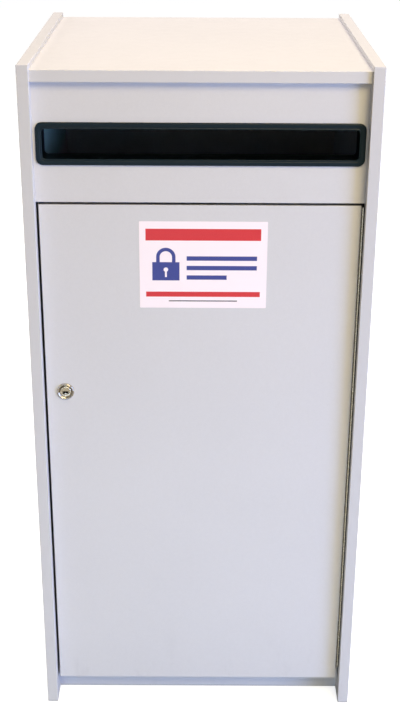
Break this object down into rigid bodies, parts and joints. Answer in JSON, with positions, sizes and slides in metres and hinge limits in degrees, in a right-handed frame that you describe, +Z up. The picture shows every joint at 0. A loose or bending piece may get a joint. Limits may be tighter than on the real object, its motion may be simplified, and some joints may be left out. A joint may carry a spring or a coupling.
{
  "type": "secure shredding console",
  "caption": "Upright laminated cabinet with a paper slot above a tall lockable hinged door, holding a hanging cloth bag for waste paper.",
  "frame": {"origin": "on the floor, in the middle of the footprint", "axes": "+Z up, the door and the paper slot face -Y, +X towards the hinge side"},
  "size_m": [0.482, 0.466, 1.016],
  "materials": {
    "laminate": "matt, very fine grain, light warm grey melamine",
    "edge_band": "satin plastic strip in the laminate's colour",
    "back_board": "matt foil-faced hardboard",
    "black_plastic": "satin moulded plastic, near black",
    "hinge_steel": "satin plated steel",
    "zinc": "zinc plated",
    "nickel": "warm bright nickel",
    "beech": "plain sanded beech",
    "label_vinyl": "satin white vinyl with a printed plain design",
    "bag_cloth": "plain woven nylon, dark slate",
    "webbing": "black woven webbing",
    "bumper_rubber": "translucent grey rubber",
    "glide_plastic": "dark hard plastic"
  },
  "bodies": {
    "cabinet": {"side_panel_left": "laminate", "side_panel_right": "laminate", "side_edge_bands": "edge_band", "top_panel": "laminate", "top_edge_bands": "edge_band", "header_panel": "laminate", "header_edge_band": "edge_band", "door_stop_rail": "laminate", "stop_rail_screws": "zinc", "bottom_panel": "laminate", "bottom_edge_band": "edge_band", "kick_board": "laminate", "back_panel": "back_board", "back_panel_screws": "zinc", "cam_fittings": "zinc", "cam_bolts": "zinc", "wood_dowels": "beech", "floor_glides": "glide_plastic", "glide_nails": "zinc", "slot_bezel": "black_plastic", "door_bumpers": "bumper_rubber", "hinge_leaf_frame": "hinge_steel", "hinge_screws_frame": "hinge_steel", "hinge_pin": "hinge_steel", "lock_keeper": "zinc", "keeper_screws": "zinc", "bag_hooks": "zinc", "bag_hook_screws": "zinc"},
    "door": {"door_panel": "laminate", "door_edge_bands": "edge_band", "door_label": "label_vinyl", "hinge_leaf_door": "hinge_steel", "hinge_screws_door": "hinge_steel", "lock_housing": "nickel", "lock_nut": "zinc"},
    "lock": {"lock_plug": "nickel", "lock_cam": "zinc", "cam_screw": "zinc"},
    "bag": {"collection_bag": "bag_cloth", "bag_rim_webbing": "webbing", "bag_grommets": "nickel", "bag_handles": "webbing"}
  },
  "joints": [
    {"name": "door_hinge", "type": "hinge", "parent": "cabinet", "child": "door", "pos_m": [0.2228, -0.219, 0.442], "axis": [0, 0, 1], "range_deg": [0, 105]},
    {"name": "lock_turn", "type": "hinge", "parent": "door", "child": "lock", "pos_m": [-0.1943, -0.217, 0.5435], "axis": [0, 1, 0], "range_deg": [0, 90]},
    {"name": "bag_lift", "type": "slide", "parent": "cabinet", "child": "bag", "axis": [0, 0, 1], "range_m": [0, 0.008]}
  ]
}
